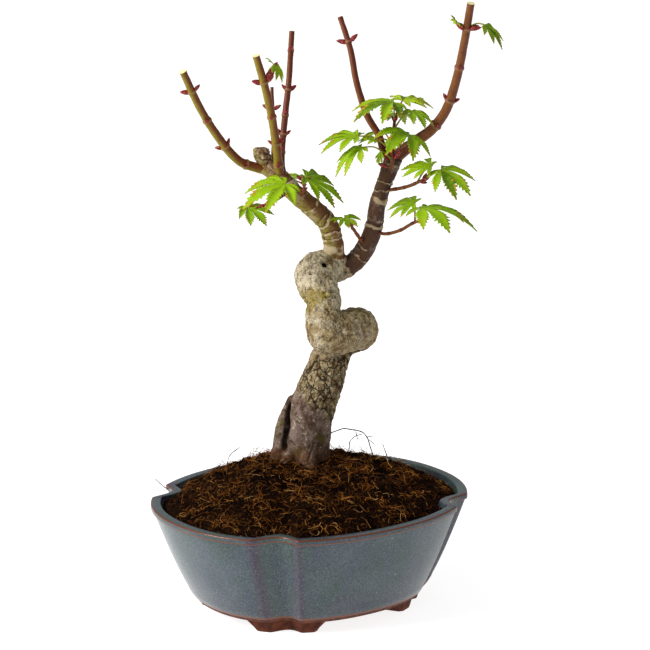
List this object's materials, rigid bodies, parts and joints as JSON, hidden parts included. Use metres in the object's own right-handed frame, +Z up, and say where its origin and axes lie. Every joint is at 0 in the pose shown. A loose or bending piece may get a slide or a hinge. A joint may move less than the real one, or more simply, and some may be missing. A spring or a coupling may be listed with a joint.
{
  "type": "potted japanese maple bonsai",
  "caption": "Japanese maple bonsai in early spring: twisted trunk forking into two boughs, cut-back budding shoots and young palm-shaped leaves, in a glazed notched oval pot on clay feet.",
  "frame": {"origin": "middle of the plan box, on the ground under the pot's feet", "axes": "+Z up, +X to the tree's right, +Y away from its front"},
  "size_m": [0.1806, 0.1574, 0.3197],
  "materials": {
    "glazed_pot": "satin",
    "soil": "matte",
    "trunk_bark": "matte",
    "left_bough_bark": "matte",
    "right_bough_bark": "satin",
    "green_shoot": "satin",
    "red_shoot": "satin",
    "leaves": "satin"
  },
  "bodies": {
    "root": {"pot": "glazed_pot", "soil": "soil", "trunk": "trunk_bark", "left_bough": "left_bough_bark", "right_bough": "right_bough_bark", "left_outer_shoot": "green_shoot", "left_middle_shoot": "green_shoot", "left_back_shoot": "red_shoot", "left_thin_shoot": "red_shoot", "right_inner_shoot": "red_shoot", "right_outer_shoot": "red_shoot", "left_leaves": "leaves", "left_back_leaves": "leaves", "middle_leaves": "leaves", "fork_leaves": "leaves", "lower_right_leaves": "leaves", "upper_right_leaves": "leaves", "crown_leaves": "leaves"}
  },
  "joints": []
}
